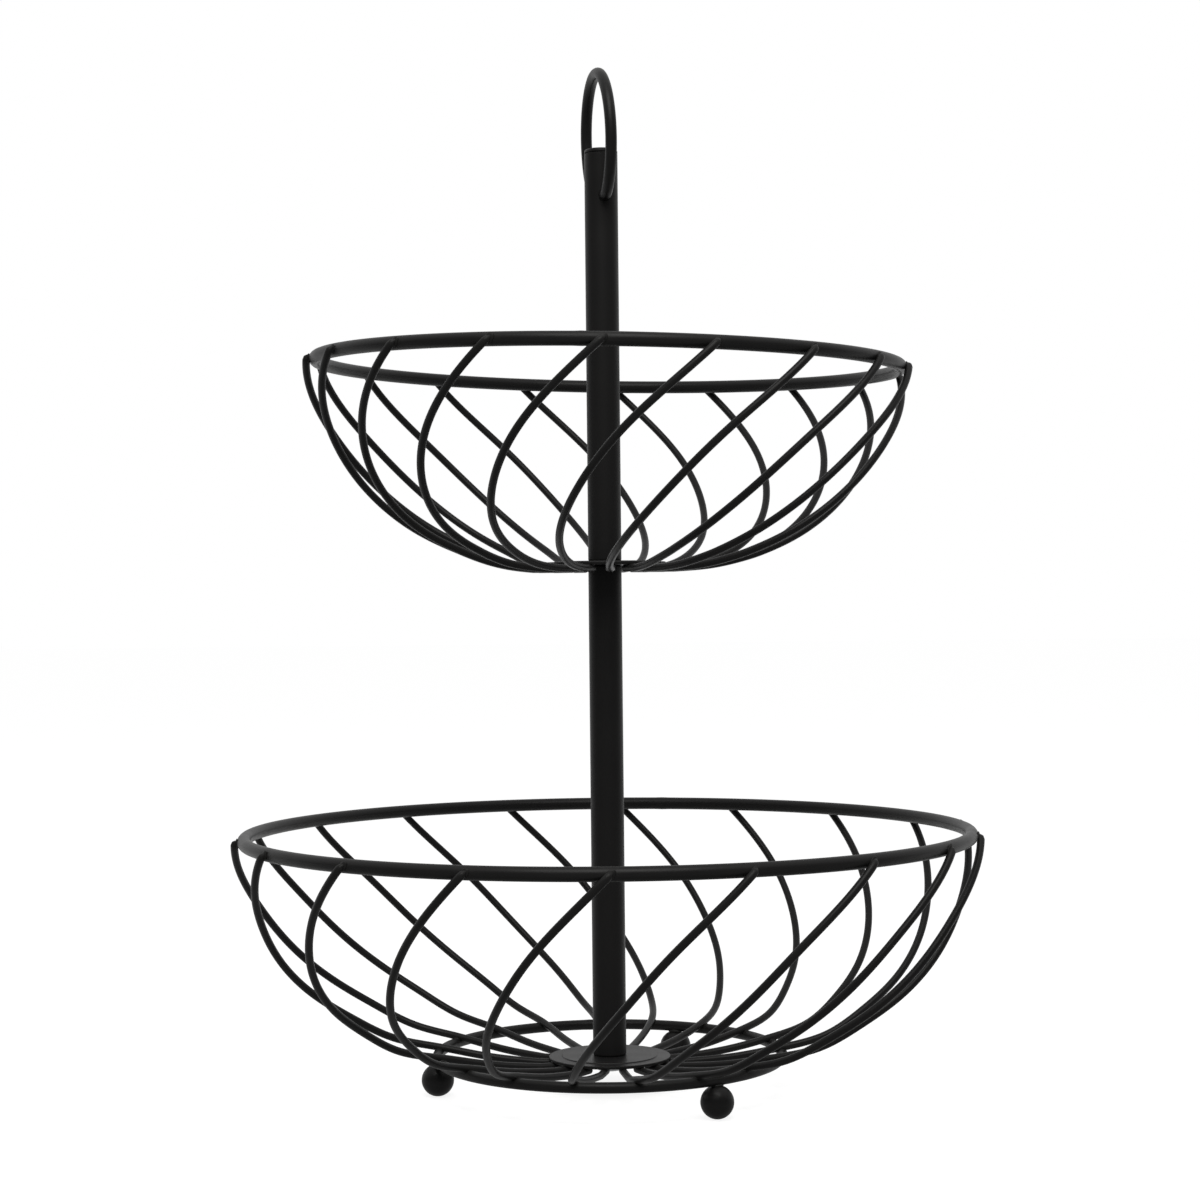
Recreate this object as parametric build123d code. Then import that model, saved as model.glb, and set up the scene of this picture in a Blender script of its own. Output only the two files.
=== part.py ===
"""Tiered wire basket: two welded wire bowls on a two-part centre tube, with a ring handle that swings.

Millimetres, +Z up. The origin is the point on the ground under the centre tube.
The front of the object is -Y and its right-hand side is +X.
"""

from math import asin, cos, degrees, hypot, pi, radians, sin, sqrt
import os

from build123d import *

# Wire with its coat, and sheet
rim_wire = 5.4
rib_wire = 3.05
base_wire = 4.3
handle_wire = 4.6
disc_thickness = 1.6
weld_sink = 0.1

# Few straight runs and flat sides keep the facets of forty-odd wires few
rib_sides = 6
ring_sides = 8
rib_runs = 10
runs_per_rim = 54
base_ring_runs = 36
handle_runs = 26
ball_bands = 8
ball_sides = 14

# Lower bowl, whose ribs crowd a little towards the right
lower_rim_radius = 145.2
lower_rim_height = 103.7
lower_first_turn = -1.1
lower_rib_slide = 2.5
lower_disc_top = 14.7
base_ring_radius = 69.3

# Upper bowl, which sits on its disc with a slight lean to the right and the front
upper_rim_radius = 118.0
upper_rim_height = 292.3
upper_first_turn = -1.5
upper_disc_top = 213.6
upper_lean = 1.5
upper_lean_turn = 70.0
whole_lean_radius = 60.0

# Both bowls
ribs_per_bowl = 18
disc_radius = 24.5
disc_plateau_radius = 19.2
disc_plateau_height = 0.3
rib_end_radius = 18.5
rib_straight_start = 29.0
rib_tip_up = 16.0
rib_tip_down = -15.0

# Ball feet
foot_count = 3
foot_diameter = 13.0
first_foot_turn = 36.0
foot_weld_sink = 0.25

# Centre tube
tube_diameter = 13.4
tube_wall = 1.2
tube_end_chamfer = 0.6
tube_above_pivot = 17.4
cap_head = 1.9
cap_chamfer = 1.0
cap_plug_length = 7.0
insert_clearance = 0.03

# Screw joints in the tube
insert_length = 14.0
stud_diameter = 6.0
stud_length = 22.0
thread_clearance = 0.05
disc_hole_clearance = 0.25
washer_radius = 8.0
washer_thickness = 1.2
screw_head_radius = 5.5
screw_head_height = 3.2
screw_length = 14.0
socket_width = 3.5
socket_depth = 1.8

# Ring handle
pivot_height = 360.0
handle_radius = 25.8
handle_rise = 23.7
handle_bend_radius = 6.0
pin_end_radius = 4.1
handle_turn = 11.0
handle_lean = 2.2
pin_clearance = 0.05

# Sizes that follow from those
tube_top = pivot_height + tube_above_pivot
tube_bore_radius = tube_diameter / 2 - tube_wall
insert_radius = tube_bore_radius - insert_clearance
thread_radius = stud_diameter / 2 + thread_clearance
disc_hole_radius = stud_diameter / 2 + disc_hole_clearance
base_ring_height = foot_diameter + base_wire / 2 - foot_weld_sink
rib_over_base_ring = base_ring_height + base_wire / 2 + rib_wire / 2 - weld_sink
lower_disc_bottom = lower_disc_top - disc_thickness
upper_disc_bottom = upper_disc_top - disc_thickness
lower_rib_floor = lower_disc_bottom - rib_wire / 2 + weld_sink
upper_rib_floor = upper_disc_bottom - rib_wire / 2 + weld_sink

# How a rib bends between two places: share of the way out, share of the way up, and turn round the tube
# from its place on the rim
lower_side_bend = [
    (0.9451, 0.6597, -10.9),
    (0.8105, 0.4487, -17.0),
    (0.6275, 0.2739, -22.2),
    (0.4261, 0.1457, -26.3),
    (0.2353, 0.0513, -29.6),
]
lower_middle_bend = [(0.525, 0.21, -32.4)]
upper_side_bend = [
    (0.9324, 0.629, -15.0),
    (0.773, 0.385, -23.8),
    (0.5482, 0.1824, -31.0),
    (0.3433, 0.0775, -34.8),
    (0.144, 0.0165, -36.0),
]
lower_turn_at_base_ring = -32.2
lower_last_turn = -31.0
upper_last_turn = -33.5


def around(radius, turn, height):
    """The point at a radius and a height, turned in degrees from the front, counter-clockwise from above."""
    return Vector(radius * sin(radians(turn)), -radius * cos(radians(turn)), height)


def flat_sided(diameter, sides):
    """A many-sided wire section with the same area as the round one."""
    corner_radius = diameter / 2 * sqrt(2 * pi / (sides * sin(2 * pi / sides)))
    return RegularPolygon(corner_radius, sides)


def bent_wire(points, diameter, sides, corner_way=None):
    """A wire in straight mitred runs from point to point. One corner of its section points the corner way."""
    path = Polyline(*points)
    section = Plane(origin=points[0], x_dir=corner_way, z_dir=path % 0) * flat_sided(diameter, sides)
    return sweep(section, path=path, transition=Transition.RIGHT)


def wire_ring(radius, diameter, height, runs):
    """A level closed ring of wire. The path starts in the middle of a run, so that every corner is mitred."""
    corners = [around(radius, 360 * i / runs, height) for i in range(runs)]
    start = (corners[0] + corners[-1]) * 0.5
    path = Polyline(start, *corners, close=True)
    section = Plane(origin=start, z_dir=path % 0) * flat_sided(diameter, ring_sides)
    return sweep(section, path=path, transition=Transition.RIGHT)


def between(inner, outer, bend):
    """The places of a bend on the way from an inner (radius, height) to an outer one, with their turns."""
    out = outer[0] - inner[0]
    up = outer[1] - inner[1]
    return [(inner[0] + out * out_share, inner[1] + up * up_share, turn) for out_share, up_share, turn in bend]


def lower_rib_places():
    """Where a lower rib goes below its rim, over the base ring and in under the disc."""
    rim = (lower_rim_radius, lower_rim_height)
    crossing = (base_ring_radius, rib_over_base_ring)
    seat = (rib_straight_start, lower_rib_floor)
    places = between(crossing, rim, lower_side_bend) + [(*crossing, lower_turn_at_base_ring)]
    return places + between(seat, crossing, lower_middle_bend) + [(*seat, lower_last_turn)]


def upper_rib_places():
    """Where an upper rib goes below its rim and in under the disc."""
    seat = (rib_straight_start, upper_rib_floor)
    return between(seat, (upper_rim_radius, upper_rim_height), upper_side_bend) + [(*seat, upper_last_turn)]


def rib_line(rim_radius, rim_height, stations, floor):
    """The front rib from its tip, slanted on the outside of the rim, to its straight end under the disc."""
    half_tip = radians(rib_tip_up - rib_tip_down) / 2
    hug = (rim_wire / 2 + rib_wire / 2 - weld_sink) / cos(half_tip)
    tip_radius = rim_radius + hug * cos(radians(rib_tip_up))
    tip_height = rim_height + hug * sin(radians(rib_tip_up))
    leave_radius = rim_radius + hug * cos(radians(rib_tip_down))
    leave_height = rim_height + hug * sin(radians(rib_tip_down))
    _, first_height, first_turn = stations[0]
    turn_per_height = first_turn / (leave_height - first_height)
    tip = around(tip_radius, turn_per_height * (leave_height - tip_height), tip_height)
    curve = Spline(around(leave_radius, 0, leave_height), *[around(r, turn, z) for r, z, turn in stations])
    end = around(rib_end_radius, stations[-1][2], floor)
    return [tip] + [curve @ (i / rib_runs) for i in range(rib_runs + 1)] + [end]


def lean_axis(height):
    """The level line that the upper bowl leans about, at a height."""
    return Axis((0, 0, height), around(1, upper_lean_turn + 90, 0))


def leaned(point):
    """Where the upper bowl's lean takes a point: none of it under the disc, all of it beyond a radius."""
    seat = Vector(0, 0, upper_disc_bottom)
    beyond_seat = hypot(point.X, point.Y) - rib_straight_start
    share = min(max(beyond_seat / (whole_lean_radius - rib_straight_start), 0), 1)
    return seat + (point - seat).rotate(lean_axis(0), upper_lean * share)


def slid(point):
    """Where a point of a lower rib lies after its slide to the right, at the same radius and height."""
    moved = Vector(point.X + lower_rib_slide, point.Y, 0).normalized() * hypot(point.X, point.Y)
    return Vector(moved.X, moved.Y, point.Z)


def placed_rib(line, turn, place):
    """One rib of a bowl at its turn, each point taken to its place. The same side of its wire faces the rim."""
    corner_way = Plane(origin=line[0], z_dir=line[1] - line[0]).x_dir
    points = [place(point.rotate(Axis.Z, turn)) for point in line]
    return bent_wire(points, rib_wire, rib_sides, corner_way.rotate(Axis.Z, turn))


def turned(profile, z_shift=0.0):
    """A turned piece from its half outline of (radius, height) points."""
    outline = make_face(Polyline(*[(r, 0, z + z_shift) for r, z in profile], close=True))
    return revolve(outline, axis=Axis.Z)


def centre_disc(top):
    """A pressed disc with a low plateau and a hole for the screw joint."""
    bottom = -disc_thickness
    edge = -disc_plateau_height
    outline = [
        (disc_hole_radius, bottom),
        (disc_radius, bottom),
        (disc_radius, edge),
        (disc_plateau_radius, edge),
        (disc_plateau_radius, 0),
        (disc_hole_radius, 0),
    ]
    return turned(outline, top)


def foot(turn):
    """A ball welded under the base ring, in flat-sided bands from its lowest point to its highest."""
    radius = foot_diameter / 2
    corners = [Vector(0, 0, 0), Vector(0, 0, foot_diameter)]
    for band in range(1, ball_bands):
        level = pi * band / ball_bands
        band_height = radius - radius * cos(level)
        corners += [around(radius * sin(level), 360 * i / ball_sides, band_height) for i in range(ball_sides)]
    return Pos(around(base_ring_radius, turn, 0)) * ConvexPolyhedron(corners)


def tube(bottom, top, top_chamfer):
    """A length of the centre tube. Its ends are eased where another piece doesn't close them."""
    outer = tube_diameter / 2
    outline = [(tube_bore_radius, bottom), (outer - tube_end_chamfer, bottom), (outer, bottom + tube_end_chamfer)]
    outline += [(outer, top - top_chamfer), (outer - top_chamfer, top)] if top_chamfer else [(outer, top)]
    return turned(outline + [(tube_bore_radius, top)])


def pin_hole():
    """The drill for the handle's two pins."""
    drill = Cylinder(handle_wire / 2 + pin_clearance, tube_diameter * 2, rotation=(90, 0, 0))
    return Pos(0, 0, pivot_height) * Rot(0, 0, handle_turn) * drill


def threaded_insert(bottom):
    """A plug pressed into the end of a tube, with a threaded hole."""
    outline = [(thread_radius, 0), (insert_radius, 0), (insert_radius, insert_length), (thread_radius, insert_length)]
    return turned(outline, bottom)


def top_cap():
    """The cap on the tube: a head with an eased edge and a plug that goes into the bore."""
    outer = tube_diameter / 2
    outline = [
        (0, -cap_plug_length),
        (insert_radius, -cap_plug_length),
        (insert_radius, 0),
        (outer, 0),
        (outer, cap_head - cap_chamfer),
        (outer - cap_chamfer, cap_head),
        (0, cap_head),
    ]
    return turned(outline, tube_top)


def base_screw():
    """The screw under the lower disc, with a hexagon socket in its head."""
    under_head = lower_disc_bottom - washer_thickness
    shank = stud_diameter / 2
    outline = [
        (0, -screw_head_height),
        (screw_head_radius, -screw_head_height),
        (screw_head_radius, 0),
        (shank, 0),
        (shank, screw_length),
        (0, screw_length),
    ]
    socket = extrude(RegularPolygon(socket_width / 2, 6, major_radius=False), amount=socket_depth)
    return turned(outline, under_head) - Pos(0, 0, under_head - screw_head_height) * socket


def ring_handle():
    """The ring handle: a near-full circle of wire whose ends bend in and sit in the tube's two holes as pins.

    It is drawn from its pins up, and rests with a slight lean to the left.
    """
    bend_out = sqrt((handle_radius - handle_bend_radius) ** 2 - (handle_rise - handle_bend_radius) ** 2)
    bend_slope = degrees(asin(bend_out / (handle_radius - handle_bend_radius)))
    end = Vector(0, -bend_out, 0)
    bend_centre = end + Vector(0, 0, handle_bend_radius)
    half_bend = radians(bend_slope / 2)
    bend_middle = bend_centre + Vector(0, -sin(half_bend), -cos(half_bend)) * handle_bend_radius
    swept = 360 - 2 * bend_slope
    angles = [radians(bend_slope + swept * i / handle_runs) for i in range(handle_runs + 1)]
    circle = [Vector(0, -handle_radius * sin(a), handle_rise - handle_radius * cos(a)) for a in angles]
    points = [end, bend_middle] + circle
    points += [Vector(0, -p.Y, p.Z) for p in (bend_middle, end)]
    pin_length = bend_out - pin_end_radius
    pin = Cylinder(handle_wire / 2, pin_length, rotation=(90, 0, 0))
    pin_middle = pin_end_radius + pin_length / 2
    pins = [Pos(0, side * pin_middle, 0) * pin for side in (-1, 1)]
    handle = bent_wire(points, handle_wire, ring_sides) + pins
    return Pos(0, 0, pivot_height) * Rot(0, 0, handle_turn) * Rot(0, -handle_lean, 0) * handle


def joining_stud():
    """The headless stud that holds the two tubes together through the upper disc."""
    middle = upper_disc_top - disc_thickness / 2
    return Pos(0, 0, middle) * Cylinder(stud_diameter / 2, stud_length)


def all_pieces():
    """Every node of the object by name."""
    pieces = {
        "lower_rim": wire_ring(lower_rim_radius, rim_wire, lower_rim_height, runs_per_rim),
        "upper_rim": wire_ring(upper_rim_radius, rim_wire, upper_rim_height, runs_per_rim).rotate(
            lean_axis(upper_disc_bottom), upper_lean
        ),
        "base_ring": wire_ring(base_ring_radius, base_wire, base_ring_height, base_ring_runs),
        "lower_disc": centre_disc(lower_disc_top),
        "upper_disc": centre_disc(upper_disc_top),
        "lower_tube": tube(lower_disc_top, upper_disc_bottom, tube_end_chamfer),
        "upper_tube": tube(upper_disc_top, tube_top, 0) - pin_hole(),
        "tube_cap": top_cap(),
        "ring_handle": ring_handle(),
        "foot_insert": threaded_insert(lower_disc_top),
        "lower_tube_insert": threaded_insert(upper_disc_bottom - insert_length),
        "upper_tube_insert": threaded_insert(upper_disc_top),
        "joining_stud": joining_stud(),
        "base_screw": base_screw(),
        "base_washer": turned(
            [
                (disc_hole_radius, -washer_thickness),
                (washer_radius, -washer_thickness),
                (washer_radius, 0),
                (disc_hole_radius, 0),
            ],
            lower_disc_bottom,
        ),
    }
    lower_line = rib_line(lower_rim_radius, lower_rim_height, lower_rib_places(), lower_rib_floor)
    upper_line = rib_line(upper_rim_radius, upper_rim_height, upper_rib_places(), upper_rib_floor)
    for number in range(ribs_per_bowl):
        turn = 360 * number / ribs_per_bowl
        pieces[f"lower_rib_{number + 1:02d}"] = placed_rib(lower_line, lower_first_turn + turn, slid)
        pieces[f"upper_rib_{number + 1:02d}"] = placed_rib(upper_line, upper_first_turn + turn, leaned)
    for number in range(foot_count):
        pieces[f"ball_foot_{number + 1}"] = foot(first_foot_turn + 360 * number / foot_count)
    return pieces


os.makedirs("parts", exist_ok=True)
for name, piece in all_pieces().items():
    export_step(piece, f"parts/{name}.step")
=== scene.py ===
"""Looks of the tiered wire basket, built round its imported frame.

Metres, +Z up, the front of the object is -Y and its right-hand side is +X.
"""

import logging
from dataclasses import dataclass, field
from enum import Enum
from math import acos, asin, cos, exp, hypot, pi, radians, sin, sqrt
from typing import Any, Callable, Iterable, Sequence

import bmesh
import bpy
import numpy as np
from mathutils import Matrix, Vector


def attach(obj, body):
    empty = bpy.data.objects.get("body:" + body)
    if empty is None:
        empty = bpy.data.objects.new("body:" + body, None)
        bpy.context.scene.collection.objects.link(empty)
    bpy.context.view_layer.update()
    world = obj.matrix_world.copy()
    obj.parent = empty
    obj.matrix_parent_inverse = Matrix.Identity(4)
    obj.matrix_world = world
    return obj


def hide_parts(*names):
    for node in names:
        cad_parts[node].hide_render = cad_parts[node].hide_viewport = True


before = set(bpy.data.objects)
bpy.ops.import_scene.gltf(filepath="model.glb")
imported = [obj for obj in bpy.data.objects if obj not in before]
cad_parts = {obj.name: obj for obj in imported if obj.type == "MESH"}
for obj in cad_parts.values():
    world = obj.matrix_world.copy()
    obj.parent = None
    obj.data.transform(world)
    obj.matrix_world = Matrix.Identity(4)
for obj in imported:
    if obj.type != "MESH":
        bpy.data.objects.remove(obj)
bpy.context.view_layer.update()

MM = 0.001
log = logging.getLogger("basket")

Values = dict[str, Any]
Numbers = Sequence[float]
Line = Sequence[Vector]
Pair = tuple[float, float]
Triple = tuple[float, float, float]
Colour = tuple[float, float, float, float]
Material = bpy.types.Material
Piece = bpy.types.Object


# Named choices


class Body(Enum):
    """The bodies of the frame."""

    STAND = "stand"
    HANDLE = "handle"


class Slot(Enum):
    """The material slots of the record."""

    COAT = "black_powder_coat"
    STEEL = "plated_steel"


# Node trees


class Graph:
    """A node tree under construction."""

    def __init__(self, tree: bpy.types.NodeTree) -> None:
        """Starts on a tree and empties it."""
        self.tree = tree
        tree.nodes.clear()

    def node(
        self, kind: str, settings: Values | None = None, sockets: Values | None = None
    ) -> "Made":
        """Adds a node.

        Args:
            kind: The node's type.
            settings: The node's own properties, set first.
            sockets: A plain value or a Shade for each input, by the socket's identifier.

        Returns:
            The node, whose outputs are read by their identifiers.
        """
        made = self.tree.nodes.new(kind)
        for name, value in (settings or {}).items():
            setattr(made, name, value)
        for key, value in (sockets or {}).items():
            socket = socket_of(made.inputs, key)
            if isinstance(value, Shade):
                self.tree.links.new(value.socket, socket)
            else:
                socket.default_value = value
        return Made(self, made)

    def noise(self, place: "Shade", scale: float, detail: float) -> "Shade":
        """A noise pattern of so many cells for each metre and so many octaves."""
        sockets = {"Vector": place, "Scale": scale, "Detail": detail}
        return self.node("ShaderNodeTexNoise", {}, sockets)["Fac"]


def socket_of(sockets: Iterable[bpy.types.NodeSocket], key: str) -> bpy.types.NodeSocket:
    """Finds a socket of a node by its identifier."""
    return next(socket for socket in sockets if socket.identifier == key)


class Made:
    """A node that was added. An identifier in brackets gives that output."""

    def __init__(self, graph: Graph, node: bpy.types.Node) -> None:
        """Keeps the node and its tree."""
        self.graph = graph
        self.outputs = node.outputs

    def __getitem__(self, key: str) -> "Shade":
        """One output, by its identifier."""
        return Shade(self.graph, socket_of(self.outputs, key))


def arithmetic(operation: str, reflected: bool = False) -> Callable[["Shade", Any], "Shade"]:
    """Makes an operator of Shade.

    Args:
        operation: The operation of the Math node that it adds.
        reflected: Whether the other value comes first.

    Returns:
        The operator.
    """

    def operator(self: "Shade", other: Any) -> "Shade":
        """Joins the two values in a Math node."""
        first, second = (other, self) if reflected else (self, other)
        sockets = {"Value": first, "Value_001": second}
        return self.graph.node("ShaderNodeMath", {"operation": operation}, sockets)["Value"]

    return operator


class Shade:
    """An output socket that takes part in Python arithmetic."""

    __add__ = arithmetic("ADD")
    __radd__ = arithmetic("ADD", reflected=True)
    __sub__ = arithmetic("SUBTRACT")
    __rsub__ = arithmetic("SUBTRACT", reflected=True)
    __mul__ = arithmetic("MULTIPLY")
    __rmul__ = arithmetic("MULTIPLY", reflected=True)
    at_most = arithmetic("MINIMUM")
    at_least = arithmetic("MAXIMUM")

    def __init__(self, graph: Graph, socket: bpy.types.NodeSocket) -> None:
        """Wraps an output socket."""
        self.graph = graph
        self.socket = socket


class MaterialTree(Graph):
    """The node tree of a new material."""

    def __init__(self, name: str) -> None:
        """Starts a material."""
        self.material = bpy.data.materials.new(name)
        self.material.use_nodes = True
        super().__init__(self.material.node_tree)

    def finish(
        self, share: Shade, colours: Sequence[Colour], relief: Sequence[Any], look: Values
    ) -> Material:
        """Ends the tree in a surface of two mixed colours with a fine relief.

        Args:
            share: The share of the second colour.
            colours: The two colours.
            relief: The relief's strength, its depth in metres and its height.
            look: What the surface's other sockets get.

        Returns:
            The material.
        """
        mix = {"Factor_Float": share, "A_Color": colours[0], "B_Color": colours[1]}
        bump = dict(zip(("Strength", "Distance", "Height"), relief))
        look["Base Color"] = self.node("ShaderNodeMix", {"data_type": "RGBA"}, mix)["Result_Color"]
        look["Normal"] = self.node("ShaderNodeBump", {}, bump)["Normal"]
        self.end(self.node("ShaderNodeBsdfPrincipled", {}, look)["BSDF"])
        return self.material

    def end(self, surface: Shade) -> None:
        """Ends the tree in a shader."""
        self.node("ShaderNodeOutputMaterial", {}, {"Surface": surface})


# Finishes


@dataclass(frozen=True)
class PowderCoat:
    """Satin black powder coat: fine orange peel, faint clouds, duller over the welds."""

    name: str = "satin_black_coat"
    colour: Colour = (0.0101, 0.0099, 0.0100, 1.0)
    thin_colour: Colour = (0.0138, 0.0135, 0.0130, 1.0)
    roughness: float = 0.39
    roughness_spread: float = 0.12
    weld_roughness: float = 0.10
    specular: float = 0.125
    peel_per_metre: float = 1150.0
    dust_per_metre: float = 4200.0
    cloud_per_metre: float = 85.0
    peel_depth: float = 0.035 * MM
    peel_strength: float = 0.6
    peel_share: float = 0.75
    thin_by_cloud: float = 0.55
    thin_by_dust: float = 0.35
    thin_by_weld: float = 0.6
    thin_start: float = 0.2

    def material(self) -> Material:
        """Builds the material.

        Returns:
            The coat. It reads the mesh attribute weld, 1 on a weld and 0 away from it.
        """
        tree = MaterialTree(self.name)
        place = tree.node("ShaderNodeTexCoord")["Object"]
        peel = tree.noise(place, self.peel_per_metre, 2.0)
        dust = tree.noise(place, self.dust_per_metre, 3.0)
        cloud = tree.noise(place, self.cloud_per_metre, 3.0)
        weld = tree.node("ShaderNodeAttribute", {"attribute_name": "weld"})["Fac"]
        thin = cloud * self.thin_by_cloud + dust * self.thin_by_dust + weld * self.thin_by_weld
        thin = (thin - self.thin_start).at_least(0.0).at_most(1.0)
        rough = self.roughness + (cloud - 0.5) * self.roughness_spread + weld * self.weld_roughness
        height = peel * self.peel_share + dust * (1 - self.peel_share)
        look = {"Roughness": rough, "Specular IOR Level": self.specular}
        relief = (self.peel_strength, self.peel_depth, height)
        return tree.finish(thin, (self.colour, self.thin_colour), relief, look)


@dataclass(frozen=True)
class PlatedSteel:
    """Zinc-plated steel of the fixings, with faint turning marks and dull patches."""

    name: str = "plated_steel_finish"
    colour: Colour = (0.56, 0.57, 0.58, 1.0)
    dull_colour: Colour = (0.40, 0.41, 0.41, 1.0)
    roughness: float = 0.32
    roughness_spread: float = 0.22
    patch_per_metre: float = 420.0
    mark_per_metre: float = 5200.0
    mark_scale: Triple = (0.08, 0.08, 1.0)
    mark_depth: float = 0.012 * MM
    mark_strength: float = 0.5

    def material(self) -> Material:
        """Builds the material.

        Returns:
            The plated finish.
        """
        tree = MaterialTree(self.name)
        place = tree.node("ShaderNodeTexCoord")["Object"]
        patch = tree.noise(place, self.patch_per_metre, 3.0)
        flat = tree.node("ShaderNodeMapping", {}, {"Vector": place, "Scale": self.mark_scale})
        marks = tree.noise(flat["Vector"], self.mark_per_metre, 2.0)
        rough = self.roughness + (patch - 0.5) * self.roughness_spread
        relief = (self.mark_strength, self.mark_depth, marks)
        look = {"Metallic": 1.0, "Roughness": rough}
        return tree.finish(patch, (self.colour, self.dull_colour), relief, look)


# Points and outlines


def around(radius: float, turn: float, height: float) -> Vector:
    """A point at a radius, a turn counter-clockwise from the front in degrees, and a height."""
    return Vector((radius * sin(radians(turn)), -radius * cos(radians(turn)), height))


def smooth_line(knots: Line, step: float) -> list[Vector]:
    """A curve of steady curvature through some points, as a natural cubic spline.

    Args:
        knots: The points.
        step: The distance between the points of the result.

    Returns:
        Points along the curve, the first and last knot among them.
    """
    spots = np.array(knots, float)
    ways = np.diff(spots, axis=0)
    gaps = np.linalg.norm(ways, axis=1)
    count = len(spots)
    system = np.eye(count)
    known = np.zeros((count, 3))
    known[1:-1] = 6 * np.diff(ways / gaps[:, None], axis=0)
    for i in range(1, count - 1):
        system[i, i - 1 : i + 2] = gaps[i - 1], 2 * (gaps[i - 1] + gaps[i]), gaps[i]
    bend = np.linalg.solve(system, known)
    line = []
    for i, gap in enumerate(gaps):
        parts = max(1, round(gap / step))
        for part in range(parts):
            far = gap * part / parts
            near = gap - far
            spot = (bend[i] * near**3 + bend[i + 1] * far**3) / (6 * gap)
            spot += (spots[i] / gap - bend[i] * gap / 6) * near
            spot += (spots[i + 1] / gap - bend[i + 1] * gap / 6) * far
            line.append(Vector(spot))
    return line + [Vector(spots[-1])]


def eased(corners: Sequence[Triple], closed: bool, steps: int = 5, lead: float = 1.2) -> list[Pair]:
    """Rounds the corners of a turned outline.

    Args:
        corners: Radius, height and ease of each corner. An ease of 0 keeps the corner.
        closed: Whether the last corner joins the first.
        steps: Points on each rounded corner, less one.
        lead: Where the points that hold the flats stand off a corner, in eases.

    Returns:
        The outline as (radius, height) points.
    """
    outline: list[Pair] = []
    last = len(corners) - 1
    for i, (radius, height, ease) in enumerate(corners):
        if ease == 0 or (not closed and i in (0, last)):
            outline.append((radius, height))
            continue
        here = Vector((radius, height))
        before = (Vector(corners[i - 1][:2]) - here).normalized() * ease
        after = (Vector(corners[(i + 1) % len(corners)][:2]) - here).normalized() * ease
        outline.append(tuple(here + before * lead))
        for step in range(steps + 1):
            share = step / steps
            spot = (here + before) * (1 - share) ** 2 + here * 2 * share * (1 - share)
            outline.append(tuple(spot + (here + after) * share**2))
        outline.append(tuple(here + after * lead))
    return outline


# Meshes


def new_piece(name: str, data: bpy.types.ID) -> Piece:
    """Puts a mesh, the camera or the lamp into the scene.

    Args:
        name: The piece's name.
        data: What it holds.

    Returns:
        The piece.
    """
    piece = bpy.data.objects.new(name, data)
    bpy.context.scene.collection.objects.link(piece)
    return piece


def turned(
    name: str, outline: Sequence[Pair], closed: bool, segments: int, centre: Vector = Vector()
) -> Piece:
    """A turned piece.

    Args:
        name: The piece's name.
        outline: The (radius, height) points of half its section.
        closed: Whether the section is a loop, as on a tube, or starts and ends on the axis.
        segments: Flats round the piece.
        centre: The foot of the axis.

    Returns:
        The piece, with its sharp edges marked.
    """
    work = bmesh.new()
    turns = [360 * i / segments for i in range(segments)]
    rings = []
    for radius, height in outline:
        spots = [around(radius, turn, height) for turn in (turns if radius else turns[:1])]
        rings.append([work.verts.new(centre + spot) for spot in spots])
    for low, high in zip(rings, rings[1:] + rings[:1] if closed else rings[1:]):
        for i in range(segments):
            j = (i + 1) % segments
            places = ((low, i), (low, j), (high, j), (high, i))
            corners = [ring[place % len(ring)] for ring, place in places]
            work.faces.new(list(dict.fromkeys(corners)))
    bmesh.ops.recalc_face_normals(work, faces=work.faces)
    mesh = bpy.data.meshes.new(name)
    work.to_mesh(mesh)
    work.free()
    mark_edges(mesh)
    return new_piece(name, mesh)


def mark_edges(mesh: bpy.types.Mesh, limit: float = radians(32)) -> None:
    """Shades a mesh smooth but for its sharp edges.

    Args:
        mesh: The mesh.
        limit: The turn between two faces from which their edge is sharp.
    """
    work = bmesh.new()
    work.from_mesh(mesh)
    for face in work.faces:
        face.smooth = True
    for edge in work.edges:
        edge.smooth = edge.calc_face_angle(0.0) < limit
    work.to_mesh(mesh)
    work.free()


def settle(piece: Piece) -> None:
    """Turns the result of a piece's modifiers into its plain mesh.

    Args:
        piece: The piece. Its modifiers are removed.
    """
    graph = bpy.context.evaluated_depsgraph_get()
    mesh = bpy.data.meshes.new_from_object(piece.evaluated_get(graph))
    piece.modifiers.clear()
    old = piece.data
    piece.data = mesh
    bpy.data.meshes.remove(old)
    mesh.name = piece.name


def cut(piece: Piece, cutter: Piece) -> None:
    """Cuts one mesh out of another.

    Args:
        piece: The piece that stays.
        cutter: The tool's shape, which is removed.
    """
    modifier = piece.modifiers.new("cut", "BOOLEAN")
    modifier.object = cutter
    modifier.operation = "DIFFERENCE"
    modifier.solver = "EXACT"
    settle(piece)
    bpy.data.objects.remove(cutter)
    mark_edges(piece.data)


def write_attribute(mesh: bpy.types.Mesh, name: str, numbers: Numbers) -> None:
    """Writes an attribute of a mesh's points.

    Args:
        mesh: The mesh.
        name: The attribute's name.
        numbers: One number for each point, or three.
    """
    plain = len(numbers) == len(mesh.vertices)
    kind, key = ("FLOAT", "value") if plain else ("FLOAT_VECTOR", "vector")
    mesh.attributes.new(name, kind, "POINT").data.foreach_set(key, numbers)


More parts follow.
